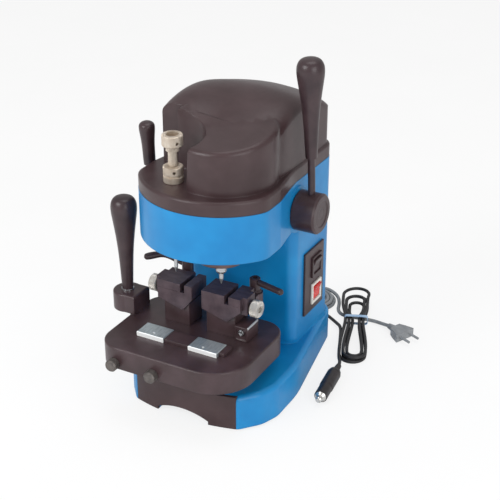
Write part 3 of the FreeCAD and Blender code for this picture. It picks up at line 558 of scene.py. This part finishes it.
# %% Fuller shoulder
shoulder_ranges_mm = ((0, -75), (70, -60), (335, 372))
shoulder_lift = 20 * MM
seam_smooth_below = math.radians(62)


def ease(value, none, full):
    """0 at one end of a range, 1 at the other, and smooth between them."""
    share = min(max((value - none) / (full - none), 0.0), 1.0)
    return share * share * (3 - 2 * share)


shoulder = cover.vertex_groups.new(name="front_left_shoulder")
for vertex in cover.data.vertices:
    share = math.prod(ease(along, *ends) for along, ends in zip(vertex.co / MM, shoulder_ranges_mm))
    if share > 0:
        shoulder.add([vertex.index], share, "REPLACE")
apply_modifier(cover, "DISPLACE", direction="Z", mid_level=0.0, strength=shoulder_lift,
               vertex_group=shoulder.name)
bpy.ops.object.shade_smooth_by_angle(angle=seam_smooth_below)
apply_modifier(cover, "WEIGHTED_NORMAL", mode="FACE_AREA", keep_sharp=True)
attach(cover, "frame")
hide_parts("top_cover")
print("cover's top", round(max(vertex.co.z for vertex in cover.data.vertices), 3))

# %% [markdown]
# Two pale blue ties hold the hank and the coil. A torus would be too round for a soft band on a flat bundle.
# Each tie is a box with open ends and rounded corners that is given a wall outwards, so it lies round the
# cord as a band does.

# %% Cord ties
hank_angle = math.radians(-67.85)
tie_corner = 3.0 * MM
tie_wall = 1.2 * MM


def add_tie(name, centre, turn, size):
    """A band round a bundle; turn is the bundle's direction, and the band is open along it."""
    deselect_everything()
    bpy.ops.mesh.primitive_cube_add(size=1.0, location=Vector(centre) * MM, rotation=(0, 0, turn))
    tie = bpy.context.object
    tie.scale = Vector(size) * MM
    bpy.ops.object.transform_apply(location=True, rotation=True, scale=True)
    axis = Vector((math.cos(turn), math.sin(turn), 0))
    edit_faces(tie, axis, -axis)
    bpy.ops.mesh.delete(type="FACE")
    bpy.ops.object.mode_set(mode="OBJECT")
    apply_modifier(tie, "BEVEL", width=tie_corner, segments=5, limit_method="ANGLE")
    apply_modifier(tie, "SOLIDIFY", thickness=tie_wall, offset=1.0)
    return finish_piece(tie, name, small_finishes["pale_blue_tie"], "frame", edge=0.3 * MM)


hank_tie = add_tie("hank_tie", centre=(106.2, 192.2, 10.7), turn=hank_angle, size=(6, 34.4, 12.6))
coil_tie = add_tie("coil_tie", centre=(0, 254.45, 7.4), turn=0.0, size=(6, 21.6, 12.4))
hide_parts("cord_ties")

# %% [markdown]
# The spare length of each cord is wound in loops. Points placed by hand would never lie evenly, so a loop
# works them out: straight runs and round ends that wind in, climb one layer and wind out again. In the hank
# some turns end short of the others, and the tie draws both sides together.

# %% Loops of a hank or a coil
RUN_PARTS = (0.18, 0.5, 0.82)
TIED_PART = 0.5
BEND_STEPS = range(0, 181, 30)
# A smooth line cuts inside its points on a bend, so those points stand a little further out.
BEND_SWELL = 1.017


def wound_points(centre, angle, hand, run, width, pitch, count, low, start, slope=0.0, loose=None, tie=None):
    """Control points of loops that wind in, climb one layer in the innermost run and wind out.

    A loose turn ends short of the others by some way, leans aside and is a little fuller.
    A tie at one place along the loops draws both sides together there."""
    along_axis = Vector((math.cos(angle), math.sin(angle), 0))
    across_axis = Vector((-along_axis.y, along_axis.x, 0)) * hand
    far = run / 2 + width

    def place(along, across, layer):
        height = low + layer + (far - along) * slope
        return centre + along_axis * along + across_axis * across + Vector((0, 0, height))

    steps = list(range(count + 1)) + list(range(count - 1, -1, -1))
    points = []
    last = start
    for i, step in enumerate(steps):
        way = 1 if i % 2 == 0 else -1
        short, aside, fuller = (loose or {}).get(i, (0.0, 0.0, 0.0))
        across = way * (width - step * pitch / 2)
        layer = 0.0 if i < count else pitch
        first, last = last, way * (run / 2 - short)
        for part in RUN_PARTS:
            climb = part * pitch if i == count else layer
            if part == TIED_PART and tie and i:
                points.append(place(tie[0], across - math.copysign(tie[1], across), climb))
            else:
                points.append(place(first + (last - first) * part, across, climb))
        if i + 1 < len(steps):
            after = -way * (width - steps[i + 1] * pitch / 2)
            middle, radius = (across + after) / 2, abs(across - after) / 2
            for turn in BEND_STEPS:
                bend = math.radians(turn)
                swell = BEND_SWELL if 0 < turn < 180 else 1.0
                reach = radius * swell * (1 + fuller * math.sin(bend))
                lean = aside * math.sin(bend)
                points.append(place(last + way * reach * math.sin(bend),
                                    middle + lean + way * reach * math.cos(bend), layer))
    return points


# %% [markdown]
# A cord is one soft line: a NURBS curve on the route's own points, with a round section. A curve bends more
# smoothly than a swept mesh, and its length can be measured.

# %% A soft line


def soft_line(name, points, radius, material):
    """A round cord on a smooth NURBS line; every point of the line carries the cord's own radius."""
    curve = bpy.data.curves.new(name, "CURVE")
    curve.dimensions = "3D"
    curve.bevel_depth = 1.0
    curve.bevel_resolution = 6
    curve.resolution_u = 6
    curve.use_fill_caps = True
    spline = curve.splines.new("NURBS")
    spline.points.add(len(points) - 1)
    for target, point in zip(spline.points, points):
        target.co = (*point, 1.0)
        target.radius = radius
    spline.order_u = 3
    spline.use_endpoint_u = True
    cord = bpy.data.objects.new(name, curve)
    scene.collection.objects.link(cord)
    curve.materials.append(material)
    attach(cord, "frame")
    return cord


def line_length(cord):
    """Length of the cord's own line, read from the curve with its thickness set aside."""
    depth = cord.data.bevel_depth
    cord.data.bevel_depth = 0.0
    mesh = bpy.data.meshes.new_from_object(cord)
    cord.data.bevel_depth = depth
    points = [vertex.co.copy() for vertex in mesh.vertices]
    bpy.data.meshes.remove(mesh)
    return sum((b - a).length for a, b in zip(points[:-1], points[1:]))


def route(*points_mm):
    return [Vector(point) * MM for point in points_mm]


# %% [markdown]
# The black 12 V cord leaves the back of the base, comes round to the right and is folded into a tied hank
# that ends in a car plug. A loose turn in the hank has three numbers: how far it ends short, how far it
# leans aside and how much fuller its bend is.

# %% 12 V cord
loose_turns = {1: (18 * MM, 2 * MM, 0.25), 3: (30 * MM, 0.0, 0.2), 5: (24 * MM, -2 * MM, 0.3),
               7: (9 * MM, -3 * MM, 0.4)}
hank_loops = wound_points(centre=Vector((109.0, 181.5, 0)) * MM, angle=hank_angle, hand=-1, run=165 * MM,
                          width=21 * MM, pitch=5.6 * MM, count=4, low=2.5 * MM, start=37 * MM, slope=0.047,
                          loose=loose_turns, tie=(-11 * MM, 8 * MM))
black_lead = route((30, 173, 16), (32, 183, 13.5), (41, 191, 9.5), (54, 192.5, 6), (67, 186, 5),
                   (80, 176.5, 5.6), (92.6, 166.1, 7.0))
black_tail = route((127.0, 81.5, 8.2), (135.0, 70.0, 9.6), (138.5, 57.0, 10.3))
black_cord = soft_line("black_12v_cord", black_lead + hank_loops + black_tail, radius=2.5 * MM,
                       material=small_finishes["black_sheath"])
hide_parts("black_lead", "black_hank", "black_tail")
black_length = line_length(black_cord)
print("12 V cord", round(black_length, 3))

# %% [markdown]
# The grey mains cord leaves low on the back. Its spare length is a tied coil behind the machine, out of
# the photograph's sight; the rest comes out under the hank and ends in a plain two-pin plug.

# %% Mains cord
coil_loops = wound_points(centre=Vector((0, 226, 0)) * MM, angle=0.0, hand=1, run=30 * MM, width=36 * MM,
                          pitch=6 * MM, count=5, low=4.35 * MM, start=-15 * MM)
grey_lead = route((-47, 173, 20), (-51.5, 187, 14), (-55, 203, 8), (-56, 222, 4.6), (-51, 241, 4.35),
                  (-32, 262, 4.35))
grey_tail = route((15, 262, 10.35), (30, 262, 10.3), (48, 253, 7.5), (58, 236, 5), (63, 218, 3.2),
                  (75, 207.5, 2.75), (93, 209.5, 2.75), (111, 213, 2.75), (128, 214.5, 2.75),
                  (143, 210.5, 4.2), (157, 204.0, 7.5))
grey_cord = soft_line("grey_mains_cord", grey_lead + coil_loops + grey_tail, radius=2.75 * MM,
                      material=small_finishes["grey_sheath"])
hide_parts("grey_lead", "grey_coil", "grey_tail")
grey_length = line_length(grey_cord)
print("mains cord", round(grey_length, 3))

# %% [markdown]
# The machine stands on white paper, as for a product photograph. More light would whiten the paper but also
# bleach the machine. Instead, most of the white that the camera sees is the paper's own, so the background
# stays even and only a faint shadow is left.

# %% Floor
WHITE = (1, 1, 1, 1)
floor_size = 40.0
floor_height = -0.2 * MM
own_white_share = 0.8

deselect_everything()
bpy.ops.mesh.primitive_plane_add(size=floor_size, location=(0, 0, floor_height))
floor = bpy.context.object
floor.name = "studio_floor"
floor_paper = new_finish("white_studio_paper", "F4F4F4", "FAFAFA", patch_mm=333, Roughness=0.9)
tree = floor_paper.node_tree
rays = add_node(tree, "ShaderNodeLightPath")
own_white = add_node(tree, "ShaderNodeMath", rays.outputs["Is Camera Ray"], own_white_share,
                     operation="MULTIPLY")
backlit = add_node(tree, "ShaderNodeEmission", Color=WHITE, Strength=1.0)
show_both(tree, own_white, backlit)
floor.data.materials.append(floor_paper)

# %% [markdown]
# A bright world and three soft lamps light the machine: a broad key from the front left, a weaker fill from
# the right and a light from above. One hard lamp would be simpler, but it would draw sharp shadows that the
# photograph doesn't have. The camera sees the world as plain white.

# %% World and lamps
world_light = 0.55

world = bpy.data.worlds.new("studio_world")
bpy.context.scene.world = world
world.use_nodes = True
tree = world.node_tree
tree.nodes.clear()
glow = add_node(tree, "ShaderNodeBackground", Color=WHITE, Strength=world_light)
backdrop = add_node(tree, "ShaderNodeBackground", Color=WHITE, Strength=1.0)
rays = add_node(tree, "ShaderNodeLightPath")
choice = add_node(tree, "ShaderNodeMixShader", rays.outputs["Is Camera Ray"], glow, backdrop)
add_node(tree, "ShaderNodeOutputWorld", Surface=choice)


def soft_lamp(name, place, target, size, watts):
    data = bpy.data.lights.new(name, "AREA")
    data.energy = watts
    data.size = size
    lamp = bpy.data.objects.new(name, data)
    scene.collection.objects.link(lamp)
    aim(lamp, place, target)


soft_lamp("key_lamp", place=(-0.9, -2.0, 1.5), target=(0, 0, 0.2), size=1.2, watts=30.0)
soft_lamp("fill_lamp", place=(1.9, -1.2, 0.9), target=(0, 0, 0.15), size=1.4, watts=18.0)
soft_lamp("top_lamp", place=(0.1, 0.2, 2.4), target=(0, 0, 0.2), size=1.4, watts=12.0)
scene.view_settings.view_transform = "Standard"
print("lamps:", len(bpy.data.lights))
